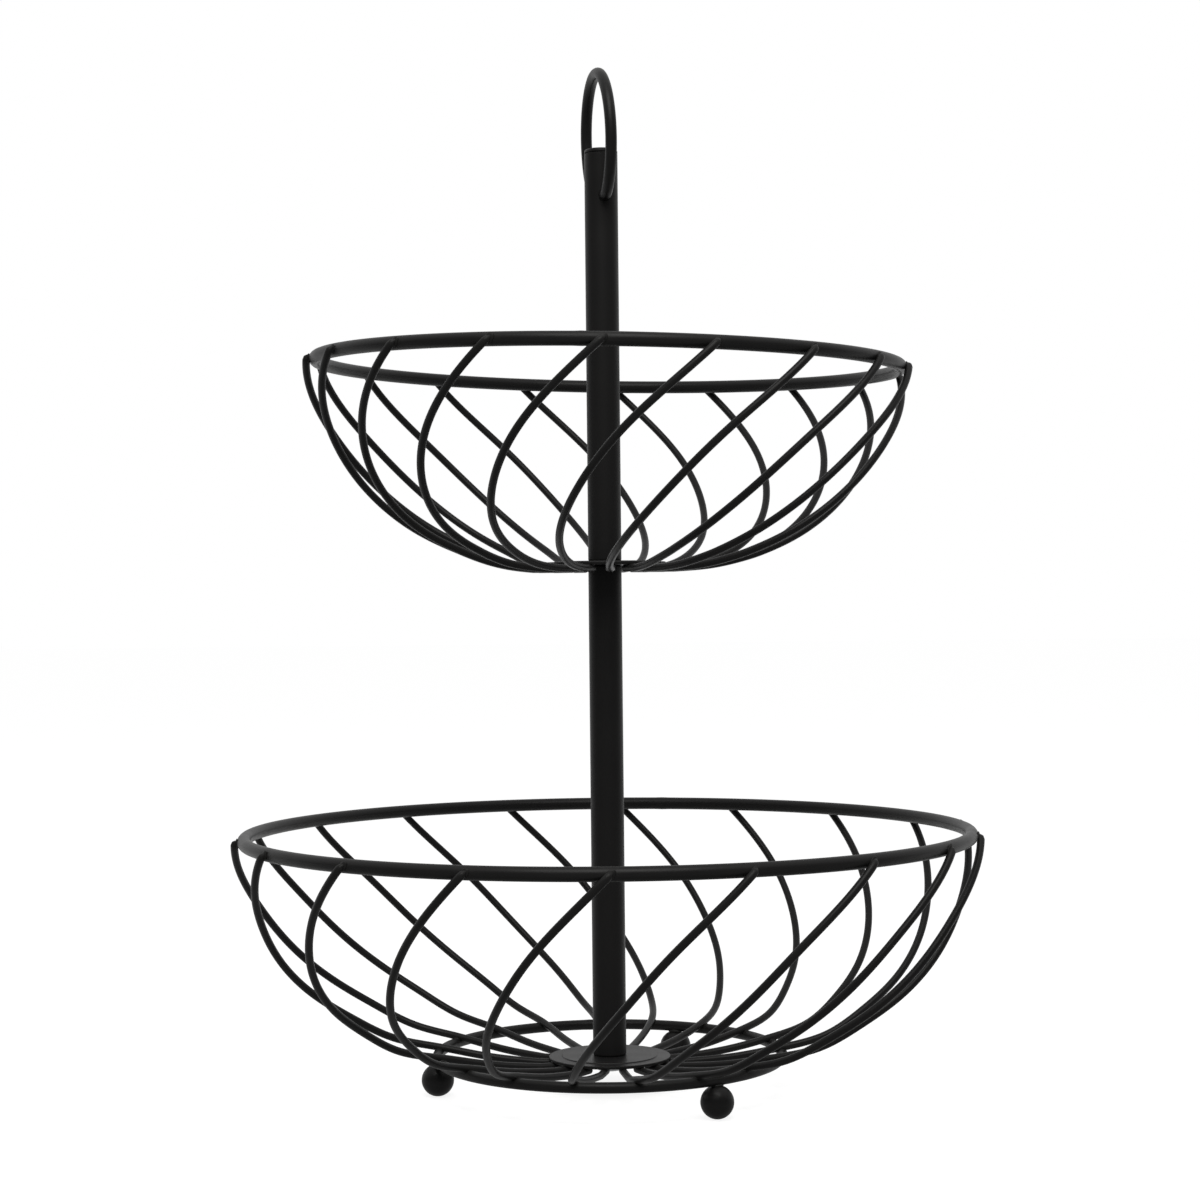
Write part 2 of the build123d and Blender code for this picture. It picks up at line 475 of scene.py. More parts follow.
class NodeTool(Graph):
    """A geometry node tree with named inputs, used as a tool on one piece after another."""

    def __init__(self, name: str, material: Material, inputs: dict[str, str]) -> None:
        """Makes the tree's shell.

        Args:
            name: The tree's name.
            material: The finish of what it makes.
            inputs: The socket type of each named input, past the geometry and the material.
        """
        super().__init__(bpy.data.node_groups.new(name, "GeometryNodeTree"))
        self.material = material
        face = self.tree.interface
        for way in ("INPUT", "OUTPUT"):
            face.new_socket("Geometry", in_out=way, socket_type="NodeSocketGeometry")
        self.identifiers = {}
        for key, kind in {**inputs, "Material": "NodeSocketMaterial"}.items():
            socket = face.new_socket(key, in_out="INPUT", socket_type=kind)
            self.identifiers[key] = socket.identifier
        self.start = self.node("NodeGroupInput")

    def given(self, key: str) -> Shade:
        """The socket inside the tree of a named input."""
        return Shade(self, self.start.outputs[key])

    def attribute(self, name: str, kind: str = "FLOAT_VECTOR") -> Shade:
        """Reads an attribute of the mesh."""
        named = {"Name": name}
        return self.node("GeometryNodeInputNamedAttribute", {"data_type": kind}, named)["Attribute"]

    def scaled(self, vector: Shade, factor: Shade) -> Shade:
        """A vector times a number."""
        sockets = {"Vector": vector, "Scale": factor}
        return self.node("ShaderNodeVectorMath", {"operation": "SCALE"}, sockets)["Vector"]

    def end(self, geometry: Shade) -> None:
        """Finishes the tree: realized, smooth and in its material.

        Args:
            geometry: The result so far.
        """
        dress = {"Material": self.given("Material")}
        steps = {"RealizeInstances": {}, "SetShadeSmooth": {}, "SetMaterial": dress}
        for kind, more in steps.items():
            sockets = {"Geometry": geometry, **more}
            geometry = self.node(f"GeometryNode{kind}", {}, sockets)["Geometry"]
        last = self.tree.nodes.new("NodeGroupOutput")
        self.tree.links.new(geometry.socket, last.inputs[0])

    def make(
        self, name: str, points: Line, edges: Sequence[Pair], attributes: Values, values: Values
    ) -> Piece:
        """Runs the tree on some points and keeps the plain mesh.

        Args:
            name: The piece's name.
            points: The points.
            edges: The pairs of points that an edge joins.
            attributes: The numbers of each attribute that the tree reads.
            values: A value for each named input but the material.

        Returns:
            The piece.
        """
        mesh = bpy.data.meshes.new(name)
        mesh.from_pydata([tuple(point) for point in points], edges, [])
        for key, numbers in attributes.items():
            write_attribute(mesh, key, numbers)
        piece = new_piece(name, mesh)
        modifier = piece.modifiers.new(self.tree.name, "NODES")
        modifier.node_group = self.tree
        for key, value in {**values, "Material": self.material}.items():
            modifier[self.identifiers[key]] = value
        settle(piece)
        for key in attributes:
            attribute = piece.data.attributes.get(key)
            if attribute:
                piece.data.attributes.remove(attribute)
        return piece


class WireBender(NodeTool):
    """Turns a line of points into a round wire. Each point has its own thickness."""

    def __init__(self, material: Material) -> None:
        """Builds the tree.

        Args:
            material: The finish of every wire.
        """
        super().__init__("wire_bender", material, {"Sides": "NodeSocketInt"})
        section = {"Resolution": self.given("Sides"), "Radius": 1.0}
        circle = self.node("GeometryNodeCurvePrimitiveCircle", {"mode": "RADIUS"}, section)
        line = self.node("GeometryNodeMeshToCurve", {}, {"Mesh": self.given("Geometry")})
        sweep = {
            "Curve": line["Curve"],
            "Profile Curve": circle["Curve"],
            "Scale": self.attribute("thickness", "FLOAT"),
            "Fill Caps": True,
        }
        self.end(self.node("GeometryNodeCurveToMesh", {}, sweep)["Mesh"])

    def bend(
        self, name: str, points: Line, radii: Numbers, sides: int, closed: bool = False
    ) -> Piece:
        """Makes a wire of so many sides along some points, with a radius at each."""
        edges = [(i - 1, i) for i in range(1, len(points))] + [(len(points) - 1, 0)] * closed
        return self.make(name, points, edges, {"thickness": radii}, {"Sides": sides})


@dataclass(frozen=True)
class Weld:
    """One weld: where it is, which way the wire runs, which way is out, and its half sizes."""

    place: Vector
    along: Vector
    outward: Vector
    half: Vector


class WeldLayer(NodeTool):
    """Lays a low uneven bead over every weld."""

    bump_per_metre: float = 620.0
    bump_height: float = 0.42 * MM
    least: float = 0.85
    most: float = 1.15
    subdivisions: int = 3
    seed: int = 7

    def __init__(self, material: Material) -> None:
        """Builds the tree.

        Args:
            material: The finish of the beads.
        """
        sizes = ("Least", "Most", "Unevenness")
        super().__init__("weld_layer", material, {key: "NodeSocketFloat" for key in sizes})
        ball = {"Radius": 1.0, "Subdivisions": self.subdivisions}
        drop = self.node("GeometryNodeMeshIcoSphere", {}, ball)
        settings = {"primary_axis": "Z", "secondary_axis": "X"}
        axes = {
            "Primary Axis": self.attribute("outward"),
            "Secondary Axis": self.attribute("along"),
        }
        turn = self.node("FunctionNodeAxesToRotation", settings, axes)
        spread = {"Min_001": self.given("Least"), "Max_001": self.given("Most"), "Seed": self.seed}
        factor = self.node("FunctionNodeRandomValue", {"data_type": "FLOAT"}, spread)
        copies = {
            "Points": self.given("Geometry"),
            "Instance": drop["Mesh"],
            "Rotation": turn["Rotation"],
            "Scale": self.scaled(self.attribute("half"), factor["Value_001"]),
        }
        beads = self.node("GeometryNodeInstanceOnPoints", {}, copies)["Instances"]
        real = self.node("GeometryNodeRealizeInstances", {}, {"Geometry": beads})["Geometry"]
        place = self.node("GeometryNodeInputPosition")["Position"]
        bumps = self.noise(place, self.bump_per_metre, 1.0)
        normal = self.node("GeometryNodeInputNormal")["Normal"]
        offset = self.scaled(normal, (bumps - 0.5) * self.given("Unevenness"))
        moved = self.node("GeometryNodeSetPosition", {}, {"Geometry": real, "Offset": offset})
        self.end(moved["Geometry"])

    def lay(self, name: str, welds: Sequence[Weld]) -> Piece:
        """Makes the beads.

        Args:
            name: The piece's name.
            welds: The welds.

        Returns:
            One piece with every bead.
        """
        attributes = {}
        for key in ("along", "outward", "half"):
            attributes[key] = [number for weld in welds for number in getattr(weld, key)]
        sizes = {"Least": self.least, "Most": self.most, "Unevenness": self.bump_height}
        piece = self.make(name, [weld.place for weld in welds], [], attributes, sizes)
        mark_welds(piece, [])
        return piece


def mark_welds(piece: Piece, spots: Line, reach: float = 3.2 * MM) -> None:
    """Writes the attribute weld, which the coat reads.

    Args:
        piece: The piece.
        spots: The welds on it. Without any, the whole piece is weld.
        reach: How far a weld's mark goes.
    """
    count = len(piece.data.vertices)
    values = np.ones(count, np.float32)
    if spots:
        corners = np.zeros(count * 3, np.float32)
        piece.data.vertices.foreach_get("co", corners)
        corners = corners.reshape(-1, 3)
        gaps = [np.linalg.norm(corners - np.array(spot), axis=1) for spot in spots]
        values = np.exp(-((np.min(gaps, axis=0) / reach) ** 2)).astype(np.float32)
    write_attribute(piece.data, "weld", values)


# Sub-assemblies


# Half sizes of the beads: along the wire, across it and outwards
RIM_BEAD = Vector((2.3, 1.55, 0.6)) * MM
DISC_BEAD = Vector((2.6, 1.6, 0.7)) * MM
RING_BEAD = Vector((1.9, 1.9, 0.75)) * MM
BALL_BEAD = Vector((2.7, 2.4, 0.95)) * MM


@dataclass
class Workshop:
    """The tools and finishes that every sub-assembly uses, and the welds that they ask for."""

    coat: Material
    steel: Material
    bender: WireBender
    welds: list[Weld] = field(default_factory=list)

    def hand_over(
        self, piece: Piece, node: str | None, body: Body = Body.STAND, slot: Slot = Slot.COAT
    ) -> None:
        """Dresses a finished piece and puts it on its body.

        Args:
            piece: The piece.
            node: The CAD node that it stands for, if any.
            body: The body that it rides on.
            slot: The record's slot of its finish.
        """
        material = self.coat if slot is Slot.COAT else self.steel
        piece.data.materials.clear()
        piece.data.materials.append(material)
        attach(piece, body.value)
        if node:
            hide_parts(node)
        log.info("%s: %d faces on %s", piece.name, len(piece.data.polygons), body.value)


# How a wire's end is cut: the share of its length and the share of the radius at each point
DOME = ((0.0, 0.05), (0.03, 0.45), (0.12, 0.72), (0.3, 0.9), (0.6, 0.98), (1.0, 1.0))
SLANT = [(i / 7, 0.25 + 0.75 * i / 7) for i in range(7)]


def cut_start(
    points: Line, radii: Numbers, shape: Sequence[Pair], length: float, lean: Vector = Vector()
) -> tuple[Line, Numbers]:
    """Shapes the first end of a wire.

    Args:
        points: The centre line.
        radii: The radius at each point.
        shape: How the end is cut.
        length: How far the cut reaches.
        lean: Which way the end leans as it narrows.

    Returns:
        The new centre line and radii.
    """
    first = next(i for i, point in enumerate(points) if (point - points[0]).length > length)
    way = (points[first] - points[0]).normalized() * length
    full = radii[0]
    tip = [points[0] + way * far + lean * full * (1 - share) for far, share in shape]
    return tip + points[first:], [full * share for _, share in shape] + radii[first:]


class Drift:
    """How the wires of a bowl stand off their true places. This one leaves them there."""

    def move(self, point: Vector) -> Vector:
        """Takes a point from its true place to the real one."""
        return point


@dataclass(frozen=True)
class Slide(Drift):
    """The ribs crowd towards the right, each point at its own radius and height."""

    shift: float

    def move(self, point: Vector) -> Vector:
        """Takes a point to its real place."""
        radius = hypot(point.x, point.y)
        moved = Vector((point.x + self.shift, point.y, 0)).normalized() * radius
        return Vector((moved.x, moved.y, point.z))


@dataclass(frozen=True)
class Lean(Drift):
    """The bowl leans as one piece beyond a radius, and less and less within it down to the disc."""

    angle: float
    turn: float
    height: float
    start: float
    whole: float

    def move(self, point: Vector) -> Vector:
        """Takes a point to its real place."""
        beyond = hypot(point.x, point.y) - self.start
        share = min(max(beyond / (self.whole - self.start), 0.0), 1.0)
        seat = Vector((0, 0, self.height))
        swing = Matrix.Rotation(radians(self.angle * share), 3, around(1, self.turn + 90, 0))
        return seat + swing @ (point - seat)


@dataclass
class Ring:
    """A closed level ring of wire with the swelling of its own butt weld."""

    node: str
    radius: float
    wire: float
    height: float
    joint_turn: float
    drift: Drift = Drift()
    sides: int = 24
    points: int = 288
    swelling: float = 0.035
    swelling_reach: float = 1.6 * MM

    def build(self, shop: Workshop, spots: Line) -> None:
        """Makes and dresses the ring.

        Args:
            shop: The workshop.
            spots: The welds on it.
        """
        turns = [self.joint_turn + 360 * i / self.points for i in range(self.points)]
        line = [self.drift.move(around(self.radius, turn, self.height)) for turn in turns]
        radii = []
        for i in range(self.points):
            away = self.radius * 2 * pi * min(i, self.points - i) / self.points
            factor = 1 + self.swelling * exp(-((away / self.swelling_reach) ** 2))
            radii.append(self.wire / 2 * factor)
        piece = shop.bender.bend(f"{self.node}_wire", line, radii, self.sides, closed=True)
        mark_welds(piece, [*spots, line[0]])
        shop.hand_over(piece, self.node)


@dataclass
class Bowl:
    """A bowl: its rim and the ribs that spiral down from it to the disc."""

    name: str
    rim_radius: float
    rim_height: float
    first_turn: float
    seat_height: float
    side_bend: Sequence[Triple]
    last_turn: float
    joint_turn: float
    drift: Drift
    crossing: Triple | None = None
    crossing_weld: float = 0.0
    middle_bend: Sequence[Triple] = ()
    rim_wire: float = 5.4 * MM
    rib_wire: float = 3.05 * MM
    tip_sink: float = 0.55 * MM
    ribs: int = 18
    rib_end_radius: float = 18.5 * MM
    straight_start: float = 29.0 * MM
    disc_radius: float = 24.5 * MM
    tip_up: float = 16.0
    tip_down: float = -15.0
    tip_knots: int = 3
    step: float = 2.2 * MM
    dome: float = 0.7 * MM
    sides: int = 14
    slant: float = 2.1 * MM

    def hug(self, angle: float, turn: float) -> Vector:
        """A point of a rib's tip beside the rim.

        Args:
            angle: Degrees round the rim's section, up from level.
            turn: Degrees round the centre tube.

        Returns:
            The point on the rib's centre line.
        """
        half_tip = radians(self.tip_up - self.tip_down) / 2
        middle = radians(self.tip_up + self.tip_down) / 2
        gap = (self.rim_wire + self.rib_wire) / 2 - self.tip_sink
        reach = gap / cos(min(half_tip, abs(radians(angle) - middle)))
        height = self.rim_height + reach * sin(radians(angle))
        return around(self.rim_radius + reach * cos(radians(angle)), turn, height)

    def knots(self) -> list[Vector]:
        """The places that the front rib bends through, from its tip to where it runs straight.

        Returns:
            The points, with the rib leaving the rim at turn 0.
        """
        seat = (self.straight_start, self.seat_height)
        rim = (self.rim_radius, self.rim_height)
        inner = self.crossing or seat
        places = self.between(inner, rim, self.side_bend)
        if self.crossing:
            places.append(self.crossing)
            places += self.between(seat, self.crossing, self.middle_bend)
        places.append((*seat, self.last_turn))
        leave = self.hug(self.tip_down, 0)
        slope = places[0][2] / (leave.z - places[0][1])
        tips = []
        for angle in (self.tip_up, (self.tip_up + self.tip_down) / 2):
            tips.append(self.hug(angle, slope * (leave.z - self.hug(angle, 0).z)))
        return tips + [leave] + [around(radius, turn, height) for radius, height, turn in places]

    @staticmethod
    def between(inner: Numbers, outer: Numbers, bend: Sequence[Triple]) -> list[Triple]:
        """The places of a bend from the inner place to the outer one: radius, height and turn."""
        out, up = outer[0] - inner[0], outer[1] - inner[1]
        return [(inner[0] + out * share, inner[1] + up * rise, turn) for share, rise, turn in bend]

    def build(self, shop: Workshop) -> list[Vector]:
        """Makes and dresses the rim and the ribs, and asks for their welds.

        Args:
            shop: The workshop.

        Returns:
            The welds on the base ring.
        """
        knots = self.knots()
        end = around(self.rib_end_radius, self.last_turn, self.seat_height)
        line = [*smooth_line(knots, self.step), end][::-1]
        line, radii = cut_start(line, [self.rib_wire / 2] * len(line), DOME, self.dome)
        inward = Vector((-line[-1].x, -line[-1].y, 0)).normalized()
        line, radii = cut_start(line[::-1], radii[::-1], SLANT, self.slant, inward)
        rim_spots = []
        ring_spots = []
        for number in range(self.ribs):
            turn = Matrix.Rotation(radians(self.first_turn + 360 * number / self.ribs), 3, "Z")
            points = [self.drift.move(turn @ point) for point in line]
            welds = self.rib_welds(knots, turn)
            spots = [weld.place for weld in welds]
            rim_spots.append(spots[0])
            ring_spots += spots[2:]
            shop.welds += welds
            node = f"{self.name}_rib_{number + 1:02d}"
            piece = shop.bender.bend(f"{node}_wire", points, radii, self.sides)
            mark_welds(piece, spots)
            shop.hand_over(piece, node)
        size = (self.rim_radius, self.rim_wire, self.rim_height)
        Ring(f"{self.name}_rim", *size, self.joint_turn, self.drift).build(shop, rim_spots)
        return ring_spots

    def rib_welds(self, knots: Line, turn: Matrix) -> list[Weld]:
        """The welds of one rib: on the rim, under the disc and, in the lower bowl, on the ring.

        Args:
            knots: The places that the front rib bends through.
            turn: The rib's turn from the front.

        Returns:
            The welds.
        """
        tip = knots[1]
        up = Vector((0, 0, 1))
        flat = Vector((tip.x, tip.y, 0)).normalized()
        middle = radians((self.tip_up + self.tip_down) / 2)
        outward = flat * cos(middle) + up * sin(middle)
        place = flat * self.rim_radius + up * self.rim_height + outward * self.rim_wire / 2
        made = [(place, (knots[0] - knots[2]).normalized(), outward, RIM_BEAD)]
        under_disc = (self.rib_end_radius + self.disc_radius) / 2
        seat = around(under_disc, self.last_turn, self.seat_height + self.rib_wire / 2)
        made.append((seat, around(1, self.last_turn, 0), Vector((0, 0, -1)), DISC_BEAD))
        if self.crossing:
            radius, _, crossing_turn = self.crossing
            spot = around(radius, crossing_turn, self.crossing_weld)
            number = self.tip_knots + len(self.side_bend)
            along = (knots[number + 1] - knots[number - 1]).normalized()
            made.append((spot, along, up, RING_BEAD))
        return [Weld(self.drift.move(turn @ a), turn @ b, turn @ c, half) for a, b, c, half in made]


@dataclass
class Base:
    """The base ring, its ball feet and the screw and washer under the lower disc."""

    ring_radius: float = 69.3 * MM
    ring_wire: float = 4.3 * MM
    ring_height: float = 14.9 * MM
    ring_joint_turn: float = 187.0
    ball_radius: float = 6.5 * MM
    ball_flat: float = 0.06 * MM
    ball_levels: int = 26
    ball_segments: int = 48
    ball_weld_reach: float = 2.4 * MM
    balls: int = 3
    first_ball_turn: float = 36.0
    disc_bottom: float = 13.1 * MM
    washer_radius: float = 8.0 * MM
    washer_thickness: float = 1.2 * MM
    washer_bore: float = 3.25 * MM
    head_radius: float = 5.5 * MM
    head_height: float = 3.2 * MM
    shank_radius: float = 3.0 * MM
    shank_length: float = 14.0 * MM
    socket_width: float = 3.5 * MM
    socket_depth: float = 1.8 * MM
    ease: float = 0.25 * MM
    head_ease: float = 1.1 * MM
    tip_ease: float = 0.4 * MM
    segments: int = 72

    def build(self, shop: Workshop, spots: Line) -> None:
        """Makes and dresses the base.

        Args:
            shop: The workshop.
            spots: The ribs' welds on the ring.
        """
        tops = []
        for number in range(self.balls):
            turn = self.first_ball_turn + 360 * number / self.balls
            tops.append(self.ball(shop, number + 1, turn))
        size = (self.ring_radius, self.ring_wire, self.ring_height)
        Ring("base_ring", *size, self.ring_joint_turn).build(shop, [*spots, *tops])
        self.fixings(shop)

    def ball(self, shop: Workshop, number: int, turn: float) -> Vector:
        """Makes one ball foot and asks for its weld.

        Args:
            shop: The workshop.
            number: The foot's number.
            turn: Its place round the ring.

        Returns:
            The top of the ball.
        """
        radius, count = self.ball_radius, self.ball_levels
        lowest = acos(1 - self.ball_flat / radius)
        outline = [(0.0, 0.0)]
        for i in range(count):
            level = lowest + (pi - lowest) * i / count
            outline.append((radius * sin(level), radius - radius * cos(level)))
        outline.append((0.0, 2 * radius))
        foot = around(self.ring_radius, turn, 0)
        name = f"ball_foot_{number}"
        piece = turned(f"{name}_ball", outline, False, self.ball_segments, foot)
        up = Vector((0, 0, 1))
        top = foot + up * 2 * radius
        mark_welds(piece, [top], self.ball_weld_reach)
        shop.hand_over(piece, name)
        shop.welds.append(Weld(top, around(1, turn + 90, 0), up, BALL_BEAD))
        return top

    def fixings(self, shop: Workshop) -> None:
        """Makes the washer and the screw, with its hexagon socket.

        Args:
            shop: The workshop.
        """
        ease = self.ease
        low = self.disc_bottom - self.washer_thickness
        corners = [
            (self.washer_bore, low, ease),
            (self.washer_radius, low, ease),
            (self.washer_radius, self.disc_bottom, ease),
            (self.washer_bore, self.disc_bottom, ease),
        ]
        washer = turned("base_washer_ring", eased(corners, True), True, self.segments)
        shop.hand_over(washer, "base_washer", slot=Slot.STEEL)
        head_low = low - self.head_height
        top = low + self.shank_length
        corners = [
            (0.0, head_low, 0.0),
            (self.head_radius, head_low, self.head_ease),
            (self.head_radius, low, ease),
            (self.shank_radius, low, 0.0),
            (self.shank_radius, top, self.tip_ease),
            (0.0, top, 0.0),
        ]
        screw = turned("base_screw_body", eased(corners, False), False, self.segments)
        corner = self.socket_width / sqrt(3)
        depth = self.socket_depth
        outline = [(0.0, head_low - depth), (corner, head_low - depth)]
        outline += [(corner, head_low + depth), (0.0, head_low + depth)]
        cut(screw, turned("socket_tool", outline, False, 6))
        shop.hand_over(screw, "base_screw", slot=Slot.STEEL)


@dataclass
class Column:
    """The two discs, the two lengths of tube and the cap."""

    tube_radius: float = 6.7 * MM
    bore_radius: float = 5.5 * MM
    lower_disc_top: float = 14.7 * MM
    upper_disc_top: float = 213.6 * MM
    tube_top: float = 377.4 * MM
    tube_ease: float = 0.85 * MM
    seam_ease: float = 0.2 * MM
    inner_ease: float = 0.1 * MM
    segments: int = 96
    reveal_height: float = 0.24 * MM
    reveal_depth: float = 0.6 * MM
    disc_radius: float = 24.5 * MM
    disc_bore: float = 3.25 * MM
    disc_bore_ease: float = 0.15 * MM
    disc_thickness: float = 1.6 * MM
    disc_ease: float = 0.35 * MM
    disc_segments: int = 144
    plateau_radius: float = 19.2 * MM
    plateau_height: float = 0.36 * MM
    step_run: float = 0.3 * MM
    step_ease: float = 0.1 * MM
    cap_head: float = 1.9 * MM
    cap_ease: float = 1.3 * MM
    cap_ease_steps: int = 8
    plug_radius: float = 5.47 * MM
    plug_length: float = 7.0 * MM
    plug_ease: float = 0.3 * MM
    pivot_height: float = 360.0 * MM
    pin_hole_radius: float = 2.35 * MM
    pin_hole_flare: float = 2.38 * MM
    flare_depth: float = 0.3 * MM
    handle_turn: float = 11.0

    def build(self, shop: Workshop) -> None:
        """Makes and dresses every piece of the column.

        Args:
            shop: The workshop.
        """
        for name, top in (("lower", self.lower_disc_top), ("upper", self.upper_disc_top)):
            shop.hand_over(self.disc(f"{name}_disc_pressing", top), f"{name}_disc")
        joint = self.upper_disc_top - self.disc_thickness
        lower = self.tube("lower_tube_wall", self.lower_disc_top, joint, self.tube_ease)
        shop.hand_over(lower, "lower_tube")
        upper = self.tube("upper_tube_wall", self.upper_disc_top, self.tube_top, self.seam_ease)
        self.drill(upper)
        shop.hand_over(upper, "upper_tube")
        shop.hand_over(self.cap(), "tube_cap")

    def disc(self, name: str, top: float) -> Piece:
        """A pressed disc: a flat brim, a smooth step and a plateau.

        Args:
            name: The piece's name.
            top: The height of its plateau.

        Returns:
            The piece.
        """
        bottom = top - self.disc_thickness
        brim = top - self.plateau_height
        run = self.step_run / 2
        corners = [
            (self.disc_bore, bottom, self.disc_bore_ease),
            (self.disc_radius, bottom, self.disc_ease),
            (self.disc_radius, brim, self.disc_ease),
            (self.plateau_radius + run, brim, self.step_ease),
            (self.plateau_radius - run, top, self.step_ease),
            (self.disc_bore, top, self.disc_bore_ease),
        ]
        return turned(name, eased(corners, True), True, self.disc_segments)

    def tube(self, name: str, bottom: float, top: float, top_ease: float) -> Piece:
        """A length of tube with rounded ends.

        Args:
            name: The piece's name.
            bottom: The height of its lower end.
            top: The height of its upper end.
            top_ease: How far its upper outer edge is rounded.

        Returns:
            The piece.
        """
        corners = [
            (self.bore_radius, bottom, self.inner_ease),
            (self.tube_radius, bottom, self.tube_ease),
            (self.tube_radius, top, top_ease),
            (self.bore_radius, top, self.inner_ease),
        ]
        return turned(name, eased(corners, True), True, self.segments)

    def drill(self, tube: Piece) -> None:
        """Cuts the pin holes, with a flared mouth, through both walls of the upper tube.

        Args:
            tube: The upper tube.
        """
        reach = 3 * self.tube_radius
        mouth = self.tube_radius - self.flare_depth
        slope = (self.pin_hole_flare - self.pin_hole_radius) / self.flare_depth
        wide = self.pin_hole_radius + slope * (reach - mouth)
        half = [(0.0, reach), (wide, reach), (self.pin_hole_radius, mouth)]
        outline = [(radius, -height) for radius, height in half] + half[::-1]
        tool = turned("drill_tool", outline, False, self.segments // 2)
        tilt = Matrix.Rotation(radians(90), 4, "X")
        turn = Matrix.Rotation(radians(self.handle_turn), 4, "Z")
        tool.data.transform(Matrix.Translation((0, 0, self.pivot_height)) @ turn @ tilt)
        cut(tube, tool)

    def cap(self) -> Piece:
        """The cap: a low head with a rounded edge over a narrow reveal, and the plug in the bore.

        Returns:
            The piece.
        """
        low = self.tube_top - self.plug_length
        top = self.tube_top + self.cap_head
        neck = self.tube_radius - self.reveal_depth
        head_low = self.tube_top + self.reveal_height
        corners = [
            (0.0, low, 0.0),
            (self.plug_radius, low, self.plug_ease),
            (self.plug_radius, self.tube_top, 0.0),
            (neck, self.tube_top, 0.0),
            (neck, head_low, 0.0),
            (self.tube_radius, head_low, self.seam_ease),
            (self.tube_radius, top, self.cap_ease),
            (0.0, top, 0.0),
        ]
        outline = eased(corners, False, self.cap_ease_steps)
        return turned("tube_cap_head", outline, False, self.segments)


@dataclass
class Handle:
    """The ring handle, whose ends bend in and sit in the tube as pins."""

    pivot_height: float = 360.0 * MM
    radius: float = 25.8 * MM
    rise: float = 23.7 * MM
    bend_radius: float = 6.0 * MM
    pin_end: float = 4.1 * MM
    wire: float = 4.6 * MM
    turn: float = 11.0
    lean: float = 2.2
    ring_points: int = 120
    bend_points: int = 14
    sides: int = 24
    dome: float = 0.7 * MM

    def build(self, shop: Workshop) -> None:
        """Makes and dresses the handle.

        Args:
            shop: The workshop.
        """
        half = self.half_line()
        mirrored = [Vector((point.x, -point.y, point.z)) for point in reversed(half[:-1])]
        lean = Matrix.Rotation(radians(-self.lean), 3, "Y")
        turn = Matrix.Rotation(radians(self.turn), 3, "Z") @ lean
        pivot = Vector((0, 0, self.pivot_height))
        line = [pivot + turn @ point for point in half + mirrored]
        radii = [self.wire / 2] * len(line)
        for _ in range(2):
            line, radii = cut_start(line[::-1], radii[::-1], DOME, self.dome)
        piece = shop.bender.bend("ring_handle_wire", line, radii, self.sides)
        shop.hand_over(piece, "ring_handle", Body.HANDLE)

    def half_line(self) -> list[Vector]:
        """The front half of the upright centre line, from the pin's end to the top of the ring.

        Returns:
            The points, from the pivot.
        """
        lever = self.radius - self.bend_radius
        bend_out = sqrt(lever**2 - (self.rise - self.bend_radius) ** 2)
        slope = asin(bend_out / lever)
        line = [Vector((0, -self.pin_end, 0)), Vector((0, -(self.pin_end + bend_out) / 2, 0))]
        for i in range(self.bend_points):
            angle = slope * i / self.bend_points
            out = bend_out + self.bend_radius * sin(angle)
            line.append(Vector((0, -out, self.bend_radius * (1 - cos(angle)))))
        half = self.ring_points // 2
        for i in range(half + 1):
            angle = slope + (pi - slope) * i / half
            out = self.radius * sin(angle)
            line.append(Vector((0, -out, self.rise - self.radius * cos(angle))))
        return line


# Studio


